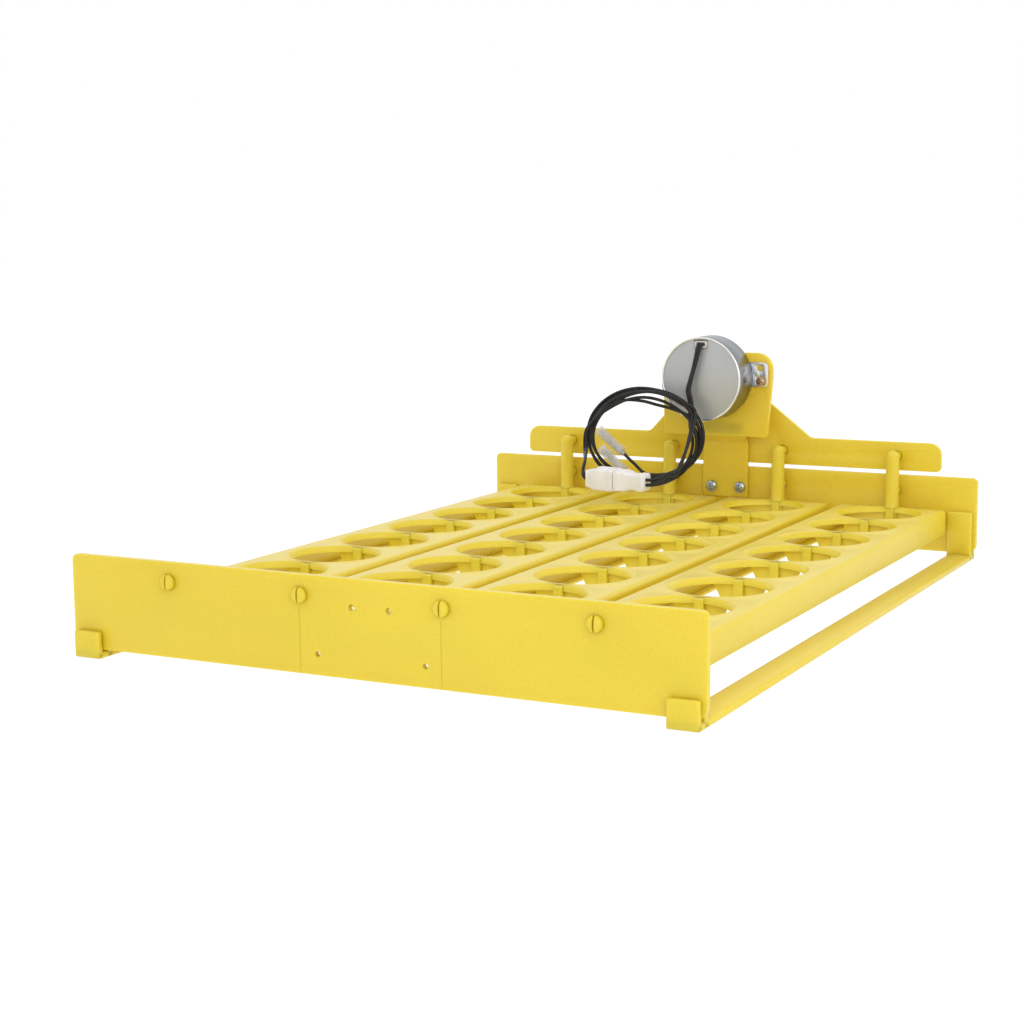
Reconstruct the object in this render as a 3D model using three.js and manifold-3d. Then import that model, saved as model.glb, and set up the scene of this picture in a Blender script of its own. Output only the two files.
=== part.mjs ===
// Egg turning frame: two end plates and two side rails carry four tilting egg trays.
// A geared motor swings the trays together through a crank and a link bar.
// Millimetres, X to the right, Y to the back, Z up, origin at the middle of the foot print.
import * as THREE from "three";
import { mergeVertices } from "three/addons/utils/BufferGeometryUtils.js";
import Module from "manifold-3d";

const wasm = await Module();
wasm.setup();

// ---- driving dimensions ----
const GAP = 0.3; // between pieces that touch

const PLATE = { width: 312, height: 43.5, thick: 3, depth: 418, z0: 4, topRadius: 3, bottomRadius: 5 };
const FRONT = -PLATE.depth / 2; // front face of the front plate
const BACK = PLATE.depth / 2; // back face of the back plate

const RAIL = { inner: 140, outer: 154, base: 2.6, crown: 3.7, foot: 3.2, footTop: 12.4, blockTop: 28 };

const TRAY = {
  middle: 3.5, // the row of trays sits a little to the right in the plates
  pitch: 70,
  width: 64,
  top: 29.5,
  bottom: 15.5,
  front: -201.5,
  back: 199,
  skin: 2,
  holes: 8,
  holePitch: 49.1,
  lastHole: 172.5,
  holeRadius: 22,
  skirt: 2.9,
  ledge: 4.6, // how far the foot of each long wall turns in
};
const PIVOT_Z = 38.5;
const PIN = { radius: 2.7, bore: 3, head: 3.6, headLength: 2.7, slit: 1 };
const COLUMN = { radius: 3.9, y: 198.2, top: 63 };

const LINK = { left: -132, right: 134.6, z0: 50, z1: 66.5, y0: 206.4, y1: BACK, pinZ: 58.5 };
const TOWER = { left: -48.5, right: 55.5, shoulder: 92, halfWidth: 24, top: 116.2 };

const MOTOR = { x: -0.7, z: 102.6, radius: 25, back: 171, front: 191, wall: 0.8 };
// the gear case cover's right ear; the left one is the same turned half round
const EAR = { reach: 29.7, outer: 34.1, drop: 5.2, rise: 9.4, screwDrop: 1.9, holeRise: 6.1 };
const CRANK = { radius: 9.1, disc: 13, pin: 2.5, y0: 197, y1: 202 };
const SLOT_HALF = 3.2;

const BRACKET = {
  left: -33,
  right: 36.3,
  footRight: 33.4,
  top: 117.4,
  bottom: 67.2,
  front: 192.6,
  thick: 3,
  tongueLeft: -11.5,
  tongueRight: 17.3,
  tongueBottom: 29,
  tongueTop: 62.7,
  tongueFront: 203,
  tongueBack: 205.7,
};
const SCREW_X = [-5.7, 12.7]; // bracket screws and the matching holes of both end plates
const SCREW_Z = 35;
const LOW_HOLE_X = [-23.2, 30.2];
const LOW_HOLE_Z = 13.2;

const COIL = { x: -33, y: 163, z: 66.5, radius: 27.8, stretch: 1.24, tube: 3.2 };
const LEAD_SLOT_Z = MOTOR.z + 20.8;

// ---- materials ----
const material = (color, roughness, metalness) =>
  new THREE.MeshStandardMaterial({ color, roughness, metalness });
const YELLOW = material(0xe6c83c, 0.45, 0);
const STEEL = material(0xaab0b6, 0.35, 0.9);
const ZINC = material(0xc8ccd0, 0.3, 0.9);
const COPPER = material(0xb06a3a, 0.4, 0.8);
const MAGNET = material(0x33363a, 0.7, 0.2);
const NYLON = material(0xf0ece0, 0.5, 0);
const BLACK = material(0x161616, 0.55, 0);
const CLEAR = material(0xe4e4dc, 0.2, 0);

// ---- solids ----
function solid(geometry) {
  const g = geometry.clone();
  g.deleteAttribute("normal");
  g.deleteAttribute("uv");
  const merged = mergeVertices(g, 1e-4);
  const index = merged.index.array;
  return new wasm.Manifold(
    new wasm.Mesh({
      numProp: 3,
      vertProperties: merged.attributes.position.array,
      triVerts: new Uint32Array(index),
    }),
  );
}

function geometryOf(body) {
  const m = body.getMesh();
  const g = new THREE.BufferGeometry();
  g.setAttribute("position", new THREE.BufferAttribute(new Float32Array(m.vertProperties), 3));
  g.setIndex(new THREE.BufferAttribute(new Uint32Array(m.triVerts), 1));
  g.computeVertexNormals();
  return g;
}

const group = new THREE.Group();

function add(name, body, look) {
  const mesh = new THREE.Mesh(geometryOf(body), look);
  mesh.name = name;
  group.add(mesh);
  return mesh;
}

function box(x0, x1, y0, y1, z0, z1) {
  const g = new THREE.BoxGeometry(x1 - x0, y1 - y0, z1 - z0);
  g.translate((x0 + x1) / 2, (y0 + y1) / 2, (z0 + z1) / 2);
  return solid(g);
}

// A round bar along Y.
function barY(x, z, y0, y1, radius, sides = 16) {
  const g = new THREE.CylinderGeometry(radius, radius, y1 - y0, sides);
  g.translate(x, (y0 + y1) / 2, z);
  return solid(g);
}

// A round bar along Z.
function barZ(x, y, z0, z1, radius, sides = 16) {
  const g = new THREE.CylinderGeometry(radius, radius, z1 - z0, sides);
  g.rotateX(Math.PI / 2);
  g.translate(x, y, (z0 + z1) / 2);
  return solid(g);
}

// A lathe about an axis parallel to Y: profile points are [radius, y].
function latheY(x, z, profile, sides = 24) {
  const points = profile.map(([r, y]) => new THREE.Vector2(r, y));
  const g = new THREE.LatheGeometry(points, sides);
  g.translate(x, 0, z);
  return solid(g);
}

// A plate standing in the XZ plane between two Y values.
function plateXZ(shape, y0, y1, curveSegments = 3) {
  const g = new THREE.ExtrudeGeometry(shape, { depth: y1 - y0, bevelEnabled: false, curveSegments });
  g.rotateX(Math.PI / 2);
  g.translate(0, y1, 0);
  return solid(g);
}

function outline(points) {
  return new THREE.Shape(points.map(([x, z]) => new THREE.Vector2(x, z)));
}

// A rectangle with its own radius at the bottom and at the top corners.
function roundedPlate(x0, x1, z0, z1, bottom, top) {
  const s = new THREE.Shape();
  s.moveTo(x0 + bottom, z0);
  s.lineTo(x1 - bottom, z0);
  s.absarc(x1 - bottom, z0 + bottom, bottom, -Math.PI / 2, 0, false);
  s.lineTo(x1, z1 - top);
  s.absarc(x1 - top, z1 - top, top, 0, Math.PI / 2, false);
  s.lineTo(x0 + top, z1);
  s.absarc(x0 + top, z1 - top, top, Math.PI / 2, Math.PI, false);
  s.lineTo(x0, z0 + bottom);
  s.absarc(x0 + bottom, z0 + bottom, bottom, Math.PI, 1.5 * Math.PI, false);
  return s;
}

const trayX = (i) => TRAY.middle + (i - 1.5) * TRAY.pitch;

// ---- frame ----
function endPlate(y0) {
  const half = PLATE.width / 2;
  const shape = roundedPlate(
    -half, half, PLATE.z0, PLATE.z0 + PLATE.height, PLATE.bottomRadius, PLATE.topRadius);
  let body = plateXZ(shape, y0, y0 + PLATE.thick);
  for (let i = 0; i < 4; i++) {
    body = body.subtract(barY(trayX(i), PIVOT_Z, y0 - 1, y0 + PLATE.thick + 1, PIN.bore, 20));
  }
  for (const x of SCREW_X) {
    body = body.subtract(barY(x, SCREW_Z, y0 - 1, y0 + PLATE.thick + 1, 1.5, 10));
  }
  for (const x of LOW_HOLE_X) {
    body = body.subtract(barY(x, LOW_HOLE_Z, y0 - 1, y0 + PLATE.thick + 1, 1.3, 10));
  }
  return body;
}

// The strip under both plates; each end hooks up in front of and behind its plate.
function sideRail(side) {
  const { inner, outer, base, crown } = RAIL;
  const end = BACK + GAP + RAIL.foot;
  const section = outline([
    [side * inner, 0],
    [side * outer, 0],
    [side * outer, base - 1],
    [side * (outer - 3), crown],
    [side * (inner + 3), crown],
    [side * inner, base],
  ]);
  let body = plateXZ(section, -end, end, 1);
  for (const way of [-1, 1]) {
    const x0 = Math.min(side * inner, side * outer);
    const x1 = Math.max(side * inner, side * outer);
    const footY = [way * (BACK + GAP), way * end].sort((a, b) => a - b);
    const inside = BACK - PLATE.thick - GAP;
    const blockY = [way * (inside - 3.3), way * inside].sort((a, b) => a - b);
    body = body.add(box(x0, x1, footY[0], footY[1], 0, RAIL.footTop));
    body = body.add(box(x0, x1, blockY[0], blockY[1], 0, RAIL.blockTop));
  }
  return body;
}

// ---- egg trays ----
// A snap pin along Y: a shank, and a split head wider than the bore it was pushed through.
function snapPin(x, z, from, plateOuter, way) {
  const headStart = plateOuter + way * GAP;
  const headEnd = plateOuter + way * PIN.headLength;
  const ys = [from, headEnd].sort((a, b) => a - b);
  let body = barY(x, z, ys[0], ys[1], PIN.radius, 16);
  const profile = [
    [0, headStart],
    [PIN.head, headStart],
    [PIN.head, headStart + way * 0.9],
    [PIN.head * 0.72, headEnd - way * 0.3],
    [0, headEnd],
  ];
  if (way < 0) profile.reverse();
  body = body.add(latheY(x, z, profile, 16));
  const slitFrom = plateOuter - way * (PLATE.thick + 1);
  const slit = [slitFrom, headEnd + way].sort((a, b) => a - b);
  return body.subtract(box(x - PIN.slit / 2, x + PIN.slit / 2, slit[0], slit[1], z - 6, z + 6));
}

// The web between two egg holes, narrower at the foot, with a post on its front.
function web(x, y) {
  const z1 = TRAY.top - TRAY.skin + 0.5;
  const shape = outline([
    [x - 8, TRAY.bottom],
    [x + 8, TRAY.bottom],
    [x + 14, z1],
    [x - 14, z1],
  ]);
  const plate = plateXZ(shape, y - 0.8, y + 0.8, 1);
  return plate.add(box(x - 2, x + 2, y - 4, y, TRAY.bottom, z1));
}

function eggTray(i) {
  const x = trayX(i);
  const half = TRAY.width / 2;
  const wall = 1.8;
  const top = TRAY.top;
  const holeY = (k) => TRAY.lastHole - k * TRAY.holePitch;
  let body = box(x - half, x + half, TRAY.front, TRAY.back, TRAY.bottom, top);
  body = body.subtract(box(
    x - half + wall, x + half - wall, TRAY.front + wall, TRAY.back - wall,
    TRAY.bottom - 1, top - TRAY.skin));
  for (const side of [-1, 1]) {
    const ledge = [x + side * (half - 1), x + side * (half - wall - TRAY.ledge)].sort((a, b) => a - b);
    body = body.add(box(
      ledge[0], ledge[1], TRAY.front + 1, TRAY.back - 1, TRAY.bottom, TRAY.bottom + 1.5));
  }
  for (let k = 0; k < TRAY.holes; k++) {
    body = body.add(barZ(x, holeY(k), top - TRAY.skirt, top - 0.5, TRAY.holeRadius + 1.4, 20));
  }
  for (let k = 1; k < TRAY.holes; k++) {
    body = body.add(web(x, holeY(k) + TRAY.holePitch / 2));
  }
  for (let k = 0; k < TRAY.holes; k++) {
    body = body.subtract(barZ(x, holeY(k), top - 7, top + 1, TRAY.holeRadius, 20));
  }
  // front ear and pivot
  const ear = outline([
    [x - 12, TRAY.bottom + 2],
    [x + 12, TRAY.bottom + 2],
    [x + 12, top],
    [x + 5.5, PIVOT_Z + 3.4],
    [x + 2.5, PIVOT_Z + 6],
    [x - 2.5, PIVOT_Z + 6],
    [x - 5.5, PIVOT_Z + 3.4],
    [x - 12, top],
  ]);
  body = body.add(plateXZ(ear, TRAY.front, TRAY.front + 3, 1));
  body = body.add(barY(x, PIVOT_Z, FRONT + PLATE.thick + GAP, TRAY.front + 1, 4.6, 16));
  body = body.add(snapPin(x, PIVOT_Z, TRAY.front + 1, FRONT, -1));
  // lever column with its two pins
  body = body.add(barZ(x, COLUMN.y, TRAY.bottom, LINK.pinZ, COLUMN.radius, 16));
  const dome = new THREE.SphereGeometry(COLUMN.radius, 16, 8);
  dome.rotateX(Math.PI / 2);
  dome.translate(x, COLUMN.y, LINK.pinZ);
  body = body.add(solid(dome));
  body = body.add(snapPin(x, PIVOT_Z, COLUMN.y, BACK, 1));
  body = body.add(snapPin(x, LINK.pinZ, COLUMN.y, BACK, 1));
  return body;
}

// ---- drive ----
function linkBar() {
  const s = new THREE.Shape();
  const { left, right, z0, z1 } = LINK;
  const cx = MOTOR.x;
  s.moveTo(left + 3, z0);
  s.lineTo(right - 3, z0);
  s.absarc(right - 3, z0 + 3, 3, -Math.PI / 2, 0, false);
  s.lineTo(right, z1 - 7);
  s.absarc(right - 7, z1 - 7, 7, 0, Math.PI / 2, false);
  s.lineTo(TOWER.right, z1);
  s.lineTo(cx + TOWER.halfWidth, TOWER.shoulder);
  s.lineTo(cx + TOWER.halfWidth, TOWER.top - 4);
  s.lineTo(cx + TOWER.halfWidth - 4, TOWER.top);
  s.lineTo(cx - TOWER.halfWidth + 4, TOWER.top);
  s.lineTo(cx - TOWER.halfWidth, TOWER.top - 4);
  s.lineTo(cx - TOWER.halfWidth, TOWER.shoulder);
  s.lineTo(TOWER.left, z1);
  s.lineTo(left + 7, z1);
  s.absarc(left + 7, z1 - 7, 7, Math.PI / 2, Math.PI, false);
  s.lineTo(left, z0 + 3);
  s.absarc(left + 3, z0 + 3, 3, Math.PI, 1.5 * Math.PI, false);
  let body = plateXZ(s, LINK.y0, LINK.y1);
  const slotFloor = MOTOR.z - CRANK.radius - CRANK.pin - 1;
  body = body.subtract(
    box(cx - SLOT_HALF, cx + SLOT_HALF, LINK.y0 - 1, LINK.y1 + 1, slotFloor, TOWER.top + 1));
  for (let i = 0; i < 4; i++) {
    body = body.subtract(barY(trayX(i), LINK.pinZ, LINK.y0 - 1, LINK.y1 + 1, PIN.bore, 20));
  }
  return body;
}

function crank() {
  let body = barY(MOTOR.x, MOTOR.z, CRANK.y0, CRANK.y1, CRANK.disc, 28);
  body = body.add(barY(MOTOR.x, MOTOR.z + CRANK.radius, CRANK.y1 - 1, BACK + 1.5, CRANK.pin, 16));
  body = body.subtract(barY(MOTOR.x, MOTOR.z, CRANK.y0 - 1, CRANK.y1 - 1.5, 3.5 + GAP, 16));
  return body.subtract(barY(MOTOR.x, MOTOR.z, CRANK.y0 - 1, CRANK.y1 + 1, 1.6, 12));
}

// A pan-head screw along Y, head facing way, with a cross recess.
function screw(x, z, headFace, tip, headRadius, shank) {
  const way = Math.sign(headFace - tip);
  const under = headFace - way * 1.9;
  const shankY = [under + way * 0.2, tip].sort((a, b) => a - b);
  const profile = [
    [0, under],
    [headRadius, under],
    [headRadius, under + way * 0.8],
    [headRadius * 0.7, headFace - way * 0.15],
    [0, headFace],
  ];
  if (way < 0) profile.reverse();
  let body = latheY(x, z, profile, 16);
  body = body.add(barY(x, z, shankY[0], shankY[1], shank, 10));
  const recess = [headFace + way, headFace - way].sort((a, b) => a - b);
  const long = headRadius * 0.55;
  body = body.subtract(box(x - long, x + long, recess[0], recess[1], z - 0.35, z + 0.35));
  return body.subtract(box(x - 0.35, x + 0.35, recess[0], recess[1], z - long, z + long));
}

// ---- bracket ----
function bracket() {
  const b = BRACKET;
  let body = plateXZ(roundedPlate(b.left, b.right, b.bottom, b.top, 2, 10), b.front, b.front + b.thick);
  // the right edge leans in towards its foot
  body = body.subtract(plateXZ(outline([
    [b.footRight, b.bottom - 1],
    [b.right + 1, b.bottom - 1],
    [b.right + 1, b.top - 14],
    [b.right, b.top - 14],
  ]), b.front - 1, b.front + b.thick + 1));
  body = body.add(plateXZ(
    roundedPlate(b.tongueLeft, b.tongueRight, b.tongueBottom, b.tongueTop + 0.5, 2, 0.2),
    b.tongueFront, b.tongueBack));
  // the slope that carries the upper plate in front of the tongue
  const slope = new THREE.Shape([
    [b.tongueFront, b.tongueTop],
    [b.tongueBack, b.tongueTop],
    [b.front + b.thick, b.bottom + 1.5],
    [b.front, b.bottom + 1.5],
    [b.front, b.bottom],
  ].map(([y, z]) => new THREE.Vector2(y, z)));
  const g = new THREE.ExtrudeGeometry(slope, { depth: b.tongueRight - b.tongueLeft, bevelEnabled: false });
  g.applyMatrix4(new THREE.Matrix4().makeBasis(
    new THREE.Vector3(0, 1, 0), new THREE.Vector3(0, 0, 1), new THREE.Vector3(1, 0, 0)));
  g.translate(b.tongueLeft, 0, 0);
  body = body.add(solid(g));
  const y0 = b.front - 1;
  const y1 = b.front + b.thick + 1;
  body = body.subtract(barY(MOTOR.x, MOTOR.z, y0, y1, 6, 20));
  for (const side of [-1, 1]) {
    body = body.subtract(
      barY(side * EAR.reach, MOTOR.z - side * EAR.screwDrop, y0, y1, 1.5 + GAP, 12));
  }
  for (const x of SCREW_X) {
    body = body.subtract(barY(x, SCREW_Z, b.tongueFront - 1, b.tongueBack + 1, 1.5 + GAP, 12));
  }
  return body;
}

// ---- motor ----
function motorCan() {
  const r = MOTOR.radius;
  const y0 = MOTOR.back;
  return latheY(MOTOR.x, MOTOR.z, [
    [r - 2, y0 + 1.2],
    [r - 1.6, y0],
    [r - 0.8, y0],
    [r, y0 + 0.9],
    [r, MOTOR.front],
    [r - MOTOR.wall, MOTOR.front],
    [r - MOTOR.wall, y0 + 2],
    [r - 2, y0 + 2],
    [r - 2, y0 + 1.2],
  ], 36);
}

function motorFace() {
  const y0 = MOTOR.back + 0.8;
  let body = barY(MOTOR.x, MOTOR.z, y0, y0 + 0.9, MOTOR.radius - 2 - GAP, 36);
  const z = LEAD_SLOT_Z;
  return body.subtract(box(MOTOR.x - 4.2, MOTOR.x + 4.2, y0 - 1, y0 + 2, z - 2.4, z + 3));
}

function leadBush() {
  const z = LEAD_SLOT_Z;
  const y0 = MOTOR.back + 0.2;
  const body = box(MOTOR.x - 3.9, MOTOR.x + 3.9, y0, y0 + 2.2, z - 2.1, z + 1.3);
  return body.subtract(box(MOTOR.x - 2.6, MOTOR.x + 2.6, y0 - 1, y0 + 1.6, z - 1.3, z + 0.8));
}

// The gear case cover: a disc with one ear at each side.
function motorFlange() {
  const y0 = MOTOR.front + GAP;
  const y1 = BRACKET.front - GAP;
  let body = barY(MOTOR.x, MOTOR.z, y0, y1, MOTOR.radius - 0.4, 36);
  for (const side of [-1, 1]) {
    const outer = side * EAR.outer;
    const above = (dz) => MOTOR.z + side * dz;
    const ear = outline([
      [side * 20, above(-EAR.drop)],
      [outer - side * 2, above(-EAR.drop)],
      [outer, above(2 - EAR.drop)],
      [outer, above(EAR.rise - 2.5)],
      [outer - side * 2.5, above(EAR.rise)],
      [side * 20, above(EAR.rise)],
    ]);
    body = body.add(plateXZ(ear, y0, y1, 1));
    body = body.subtract(barY(side * EAR.reach, above(-EAR.screwDrop), y0 - 1, y1 + 1, 1.5 + GAP, 12));
    body = body.subtract(barY(side * (EAR.reach - 0.5), above(EAR.holeRise), y0 - 1, y1 + 1, 1.9, 12));
  }
  return body.subtract(barY(MOTOR.x, MOTOR.z, y0 - 1, y1 + 1, 3.5 + GAP, 16));
}

function gearShape(x, z, radius, teeth) {
  const points = [];
  const depth = 0.9;
  for (let i = 0; i < teeth; i++) {
    for (const [part, r] of [[0, radius - depth], [0.3, radius], [0.5, radius], [0.8, radius - depth]]) {
      const a = (2 * Math.PI * (i + part)) / teeth;
      points.push([x + r * Math.cos(a), z + r * Math.sin(a)]);
    }
  }
  return outline(points);
}

const GEAR_OFFSET = 13; // from the shaft to the reduction gear's own axis

function outputShaft() {
  const body = barY(MOTOR.x, MOTOR.z, 185.6, CRANK.y1 - 1.5 - GAP, 3.5, 16);
  const screwHole = barY(MOTOR.x, MOTOR.z, 192, CRANK.y1, 1.2, 10);
  return body.subtract(screwHole).add(
    plateXZ(gearShape(MOTOR.x, MOTOR.z, 9.6, 20), 186.5, 188.5, 1));
}

function reductionGear() {
  const x = MOTOR.x + GEAR_OFFSET;
  let body = plateXZ(gearShape(x, MOTOR.z, 10.4, 24), 183.5, 185.2, 1);
  body = body.add(barY(x, MOTOR.z, 185, 190.6, 2.2, 12));
  return body.subtract(barY(x, MOTOR.z, 182, 192, 0.8, 8));
}

function rotor() {
  let body = barY(MOTOR.x, MOTOR.z, 173.5, 182, 10, 24);
  body = body.subtract(barY(MOTOR.x, MOTOR.z, 172, 179, 6.5, 16));
  return body.add(barY(MOTOR.x, MOTOR.z, 174, 185.2, 1.7, 10));
}

function statorCoil() {
  return latheY(MOTOR.x, MOTOR.z, [
    [11.2, 174],
    [11.2, 182.8],
    [23.4, 182.8],
    [23.4, 174],
    [11.2, 174],
  ].reverse(), 28);
}

// ---- leads ----
function tube(points, radius, steps, sides = 8) {
  const path = new THREE.CatmullRomCurve3(points.map(([x, y, z]) => new THREE.Vector3(x, y, z)));
  const ring = new THREE.Shape();
  for (let i = 0; i < sides; i++) {
    const a = (2 * Math.PI * i) / sides;
    const x = radius * Math.cos(a);
    const y = radius * Math.sin(a);
    if (i === 0) ring.moveTo(x, y);
    else ring.lineTo(x, y);
  }
  return solid(new THREE.ExtrudeGeometry(ring, { steps, extrudePath: path, bevelEnabled: false }));
}

// The coil of spare lead hangs upright in front of the bracket, wider than it is high.
function leadCoil() {
  const points = [];
  for (let i = 0; i <= 10; i++) {
    const a = (2 * Math.PI * i) / 10;
    points.push(new THREE.Vector2(COIL.radius + COIL.tube * Math.cos(a), COIL.tube * Math.sin(a)));
  }
  const g = new THREE.LatheGeometry(points, 40);
  g.scale(COIL.stretch, 1, 1);
  g.translate(COIL.x, COIL.y, COIL.z);
  return solid(g);
}

function coilPoint(degrees, radial, forward) {
  const a = THREE.MathUtils.degToRad(degrees);
  const r = COIL.radius + radial;
  return [COIL.x + COIL.stretch * r * Math.cos(a), COIL.y - forward, COIL.z + r * Math.sin(a)];
}

// Where a lead leaves the coil: its end, and a point straight ahead of it.
function leaveCoil(degrees) {
  const clear = COIL.tube + 2 * GAP;
  return [coilPoint(degrees, 0, clear), coilPoint(degrees, 0, clear + 2.5)];
}

const CONNECTOR = { x: -31.5, y: 121, z: 47.2, half: 19.5, width: 13, height: 12.4, turn: 9 };

// A point given along, across and above the connector, which lies turned about Z.
function onConnector(along, across, above) {
  const a = THREE.MathUtils.degToRad(CONNECTOR.turn);
  return [
    CONNECTOR.x + along * Math.cos(a) + across * Math.sin(a),
    CONNECTOR.y - along * Math.sin(a) + across * Math.cos(a),
    CONNECTOR.z + above,
  ];
}

function connectorHalf(x0, x1, grow) {
  const c = CONNECTOR;
  const h = c.height / 2 + grow;
  const part = (from, to, width, low, high) => {
    const g = new THREE.BoxGeometry(to - from, width, high - low);
    g.translate((from + to) / 2, 0, (low + high) / 2);
    g.rotateZ(THREE.MathUtils.degToRad(-c.turn));
    g.translate(c.x, c.y, c.z);
    return solid(g);
  };
  return part(x0, x1, c.width + 2 * grow, -h, h).add(part(x0 + 2, x1 - 2, 4, h - 0.5, h + 1));
}

function sleeve(x, y, z, tilt) {
  const g = new THREE.CylinderGeometry(3, 3.4, 20, 12);
  const inner = new THREE.CylinderGeometry(2.3, 2.5, 22, 12);
  const place = (part) => {
    part.rotateZ(Math.PI / 2);
    part.rotateY(tilt);
    part.translate(x, y, z);
    return solid(part);
  };
  return place(g).subtract(place(inner));
}

// A crimped blade inside its sleeve.
function terminal(x, y, z, tilt) {
  const blade = new THREE.BoxGeometry(16, 0.8, 3);
  const crimp = new THREE.BoxGeometry(6, 2.2, 2.2);
  crimp.translate(9.5, 0, 0);
  const place = (part) => {
    part.rotateY(tilt);
    part.translate(x, y, z);
    return solid(part);
  };
  return place(blade).add(place(crimp));
}

// ---- assembly ----
add("front_plate", endPlate(FRONT), YELLOW);
add("back_plate", endPlate(BACK - PLATE.thick), YELLOW);
add("rail_left", sideRail(-1), YELLOW);
add("rail_right", sideRail(1), YELLOW);
for (let i = 0; i < 4; i++) {
  add("egg_tray_" + (i + 1), eggTray(i), YELLOW);
}
add("link_bar", linkBar(), YELLOW);
add("crank", crank(), NYLON);
add("crank_screw", screw(MOTOR.x, MOTOR.z, CRANK.y1 + GAP + 1.9, 193, 3, 1), ZINC);
add("motor_bracket", bracket(), YELLOW);
SCREW_X.forEach((x, i) => {
  add("bracket_screw_" + (i + 1),
    screw(x, SCREW_Z, BRACKET.tongueFront - GAP - 1.9, BACK - 0.5, 3.4, 1.2), ZINC);
});
add("motor_can", motorCan(), STEEL);
add("motor_face", motorFace(), STEEL);
add("motor_flange", motorFlange(), ZINC);
[-1, 1].forEach((side, i) => {
  add("motor_screw_" + (i + 1),
    screw(side * EAR.reach, MOTOR.z - side * EAR.screwDrop, MOTOR.front - 1.9, BRACKET.front + 4.5, 2.8, 1.2), ZINC);
});
add("stator_coil", statorCoil(), COPPER);
add("rotor", rotor(), MAGNET);
add("reduction_gear", reductionGear(), NYLON);
add("output_shaft", outputShaft(), STEEL);
add("lead_bush", leadBush(), NYLON);

const coilTop = coilPoint(48, COIL.tube + GAP + 1, 0);
add("lead_drop", tube([
  [MOTOR.x, MOTOR.back - 0.3, LEAD_SLOT_Z],
  [MOTOR.x, MOTOR.back - 2.6, LEAD_SLOT_Z - 0.6],
  [MOTOR.x - 0.6, MOTOR.back - 4, LEAD_SLOT_Z - 5],
  [MOTOR.x - 3, MOTOR.back - 4.6, LEAD_SLOT_Z - 15],
  coilTop,
], 1.6, 14), BLACK);
add("lead_coil", leadCoil(), BLACK);

const C = CONNECTOR;
add("connector_socket", connectorHalf(-C.half, -0.2, 0), NYLON);
add("connector_plug", connectorHalf(0.2, C.half, -0.6), NYLON);
add("lead_socket", tube([
  ...leaveCoil(205),
  onConnector(-C.half - 12, 8, 6),
  onConnector(-C.half - 6, 1, 0.6),
  onConnector(-C.half - 3, 0, 0),
  onConnector(-C.half - 2 * GAP, 0, 0),
], 1.4, 14), BLACK);
add("lead_plug", tube([
  ...leaveCoil(335),
  onConnector(C.half + 9, 26, 8),
  onConnector(C.half + 10, 9, 4),
  onConnector(C.half + 6, 1, 0.6),
  onConnector(C.half + 3, 0, 0),
  onConnector(C.half + 2 * GAP, 0, 0),
], 1.4, 14), BLACK);

const TERMINALS = [
  { x: -51, z: 66, y: 153 },
  { x: -47.5, z: 55.5, y: 148.5 },
];
const TILT = THREE.MathUtils.degToRad(40);
TERMINALS.forEach((t, i) => {
  const wireX = t.x + 12.9 * Math.cos(TILT);
  const wireZ = t.z - 12.9 * Math.sin(TILT);
  add("terminal_sleeve_" + (i + 1), sleeve(t.x, t.y, t.z, TILT), CLEAR);
  add("terminal_" + (i + 1), terminal(t.x, t.y, t.z, TILT), ZINC);
  add("lead_tail_" + (i + 1), tube([
    [wireX, t.y, wireZ],
    [wireX + 6, t.y + 0.5, wireZ - 5],
    [wireX + 12 + 5 * i, t.y + 4 + i, wireZ - 7],
    ...leaveCoil(288 + 14 * i).reverse(),
  ], 0.9, 12), BLACK);
});

export default group;
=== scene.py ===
# Looks for the egg turning frame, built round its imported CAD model.
# Lengths are written in millimetres and turned into metres where a mesh or curve is made.
import math

import bmesh
import bpy
from mathutils import Matrix, Vector


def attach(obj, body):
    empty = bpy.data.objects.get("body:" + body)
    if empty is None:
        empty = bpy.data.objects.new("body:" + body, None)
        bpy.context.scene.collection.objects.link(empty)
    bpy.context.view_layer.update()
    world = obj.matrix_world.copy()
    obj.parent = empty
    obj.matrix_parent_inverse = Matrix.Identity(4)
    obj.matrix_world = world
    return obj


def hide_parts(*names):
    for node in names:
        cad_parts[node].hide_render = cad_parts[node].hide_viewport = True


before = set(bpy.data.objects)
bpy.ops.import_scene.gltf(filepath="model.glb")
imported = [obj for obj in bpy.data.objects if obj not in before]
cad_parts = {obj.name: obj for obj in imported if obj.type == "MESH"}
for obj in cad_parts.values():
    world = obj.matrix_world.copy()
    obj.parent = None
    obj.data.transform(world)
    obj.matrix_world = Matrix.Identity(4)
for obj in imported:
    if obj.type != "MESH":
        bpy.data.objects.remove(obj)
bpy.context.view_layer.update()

MM = 0.001
GAP = 0.3  # between pieces that touch

# ---- driving dimensions, the same as the CAD part's ----
PLATE_WIDTH = 312
PLATE_BOTTOM = 4
PLATE_TOP = 47.5
PLATE_THICK = 3
FRONT = -209
BACK = 209
RAIL_INNER = 140
RAIL_OUTER = 154
RAIL_HOOK = 3.2
RAIL_HOOK_TOP = 12.4
RAIL_BLOCK_TOP = 28
TRAY_X = [3.5 + (i - 1.5) * 70 for i in range(4)]
TRAY_HALF = 32
TRAY_TOP = 29.5
TRAY_BOTTOM = 15.5
TRAY_FRONT = -201.5
TRAY_BACK = 199
TRAY_SKIN = 2
TRAY_WALL = 1.8
TRAY_EDGE = 2.5  # radius of its top edge and corners
TRAY_LEDGE = 4.6
HOLE_PITCH = 49.1
HOLES_Y = [172.5 - k * HOLE_PITCH for k in range(8)]
PIVOT_Z = 38.5
LINK_PIN_Z = 58.5
PIN_RADIUS = 2.7
PIN_BORE = 3
PIN_HEAD = 3.6
HUB_RADIUS = 4.6
COLUMN_RADIUS = 3.9
COLUMN_Y = 198.2
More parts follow.
